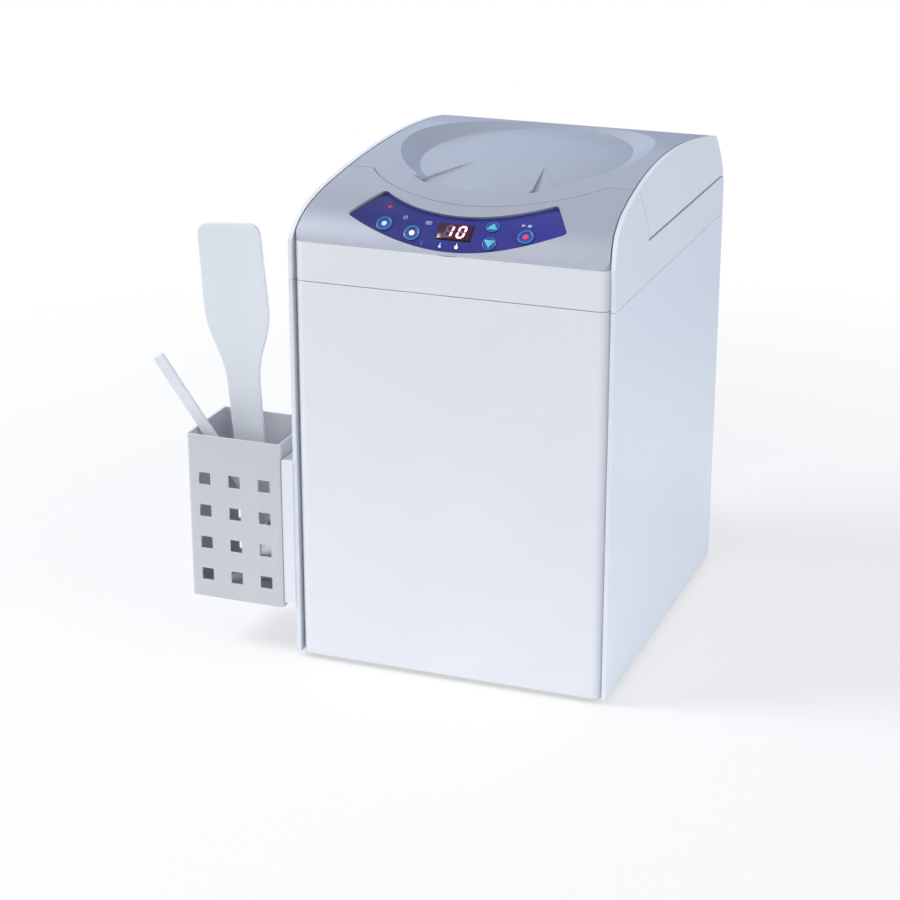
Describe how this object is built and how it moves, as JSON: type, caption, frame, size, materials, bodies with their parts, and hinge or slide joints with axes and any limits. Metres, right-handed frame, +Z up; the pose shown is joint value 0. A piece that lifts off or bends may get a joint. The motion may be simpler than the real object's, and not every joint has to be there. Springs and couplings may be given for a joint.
{
  "type": "dental impression mixer",
  "caption": "Bench-top centrifugal mixer for dental impression material, with a hinged lid, control panel, tilted spinning bowl and side tool holder.",
  "frame": {"origin": "on the table, under the middle of the housing's footprint", "axes": "+Z up, the front with its control panel faces -Y, +X to the right of someone facing the front"},
  "size_m": [0.3719, 0.3137, 0.3786],
  "materials": {
    "housing_white": "smooth moulded plastic with a soft sheen",
    "sheet_white": "smooth enamel on sheet metal",
    "top_grey": "silver-grey painted plastic, satin",
    "panel_blue": "printed foil behind clear gloss",
    "key_blue": "domed foil keys, glossy",
    "display_red": "tinted display window",
    "led_red": "clear red lamp lens",
    "liner_white": "formed plastic, matt",
    "black_plastic": "fine-grained black plastic",
    "dark_rubber": "matt rubber",
    "steel": "turned and rolled steel",
    "plated_sheet": "zinc-plated folded sheet",
    "light_alloy": "machined aluminium",
    "iron_grey": "cast iron, dark grey",
    "bowl_plastic": "milky translucent plastic",
    "holder_grey": "light grey enamel on perforated sheet",
    "tool_white": "flexible white plastic",
    "board_green": "lacquered circuit board"
  },
  "bodies": {
    "housing": {"base_plate": "plated_sheet", "rubber_feet": "dark_rubber", "front_panel": "housing_white", "left_side_panel": "sheet_white", "right_side_panel": "sheet_white", "rear_panel": "sheet_white", "panel_screws": "steel", "frame_posts": "plated_sheet", "upper_frame": "housing_white", "control_cover": "top_grey", "keypad_overlay": "panel_blue", "display_window": "display_red", "status_led": "led_red", "power_inlet": "black_plastic", "switch_frame": "black_plastic", "motor_posts": "steel", "rubber_mounts": "dark_rubber", "motor_plate": "light_alloy", "motor_can": "iron_grey", "bearing_housing": "light_alloy", "shaft_bearings": "steel", "shaft_seal": "dark_rubber", "chamber_tub": "liner_white", "chamber_seal": "dark_rubber", "friction_track": "dark_rubber", "power_supply": "plated_sheet", "control_board": "board_green", "lock_solenoid": "steel", "lid_bumpers": "dark_rubber", "hinge_leaves_body": "steel", "hinge_pins": "steel", "holder_bracket": "housing_white"},
    "lid": {"lid_shell": "top_grey", "lid_frame": "housing_white", "lid_liner": "liner_white", "lock_tongue": "steel", "hinge_leaves_lid": "steel"},
    "lock_bolt": {"lock_bolt": "steel"},
    "select_key": {"select_key": "key_blue"},
    "menu_key": {"menu_key": "key_blue"},
    "up_key": {"up_key": "key_blue"},
    "down_key": {"down_key": "key_blue"},
    "start_stop_key": {"start_stop_key": "key_blue"},
    "power_rocker": {"power_rocker": "black_plastic"},
    "rotor": {"rotor_arm": "light_alloy", "counterweight": "iron_grey", "rotor_nut": "steel", "drive_shaft": "steel", "motor_armature": "steel", "carrier_bearings": "steel"},
    "carrier": {"bowl_carrier": "light_alloy", "carrier_spindle": "steel", "tyre_wheel": "light_alloy", "drive_tyre": "dark_rubber", "spindle_nut": "steel"},
    "bowl": {"mixing_bowl": "bowl_plastic"},
    "bowl_lid": {"bowl_lid": "bowl_plastic"},
    "tool_holder": {"tool_holder": "holder_grey"},
    "spatula": {"spatula": "tool_white"},
    "measuring_scoop": {"measuring_scoop": "tool_white"}
  },
  "joints": [
    {"name": "lid_hinge", "type": "hinge", "parent": "housing", "child": "lid", "pos_m": [0, 0.1561, 0.336], "axis": [-1, 0, 0], "range_deg": [0, 85]},
    {"name": "lock_slide", "type": "slide", "parent": "housing", "child": "lock_bolt", "axis": [0, -1, 0], "range_m": [0, 0.006]},
    {"name": "select_key_press", "type": "slide", "parent": "housing", "child": "select_key", "axis": [0, 0.619, -0.7854], "range_m": [0, 0.0005], "stiffness_N_per_m": 3000, "springref_m": -0.0001},
    {"name": "menu_key_press", "type": "slide", "parent": "housing", "child": "menu_key", "axis": [0, 0.7287, -0.6848], "range_m": [0, 0.0005], "stiffness_N_per_m": 3000, "springref_m": -0.0001},
    {"name": "up_key_press", "type": "slide", "parent": "housing", "child": "up_key", "axis": [0, 0.4885, -0.8725], "range_m": [0, 0.0005], "stiffness_N_per_m": 3000, "springref_m": -0.0001},
    {"name": "down_key_press", "type": "slide", "parent": "housing", "child": "down_key", "axis": [0, 0.7728, -0.6346], "range_m": [0, 0.0005], "stiffness_N_per_m": 3000, "springref_m": -0.0001},
    {"name": "start_stop_key_press", "type": "slide", "parent": "housing", "child": "start_stop_key", "axis": [0, 0.625, -0.7806], "range_m": [0, 0.0005], "stiffness_N_per_m": 3000, "springref_m": -0.0001},
    {"name": "power_rocker_tilt", "type": "hinge", "parent": "housing", "child": "power_rocker", "pos_m": [0.025, 0.15, 0.06], "axis": [1, 0, 0], "range_deg": [0, 14]},
    {"name": "rotor_spin", "type": "hinge", "parent": "housing", "child": "rotor", "pos_m": [0, -0.005, 0.15], "axis": [0, 0, 1], "continuous": true},
    {"name": "carrier_spin", "type": "hinge", "parent": "rotor", "child": "carrier", "pos_m": [0, 0.045, 0.21], "axis": [0, -0.5736, 0.8192], "continuous": true},
    {"name": "bowl_lift", "type": "slide", "parent": "carrier", "child": "bowl", "axis": [0, -0.5736, 0.8192], "range_m": [0, 0.034]},
    {"name": "bowl_lid_twist", "type": "hinge", "parent": "bowl", "child": "bowl_lid", "pos_m": [0, 0.045, 0.21], "axis": [0, -0.5736, 0.8192], "range_deg": [0, 45]},
    {"name": "tool_holder_lift", "type": "slide", "parent": "housing", "child": "tool_holder", "axis": [0, 0, 1], "range_m": [0, 0.012]},
    {"name": "spatula_lift", "type": "slide", "parent": "tool_holder", "child": "spatula", "axis": [0, 0, 1], "range_m": [0, 0.24]},
    {"name": "scoop_lift", "type": "slide", "parent": "tool_holder", "child": "measuring_scoop", "axis": [0, 0, 1], "range_m": [0, 0.12]}
  ],
  "couplings": [
    {"joint": "carrier_spin", "follows": "rotor_spin", "ratio": -3.5956}
  ]
}
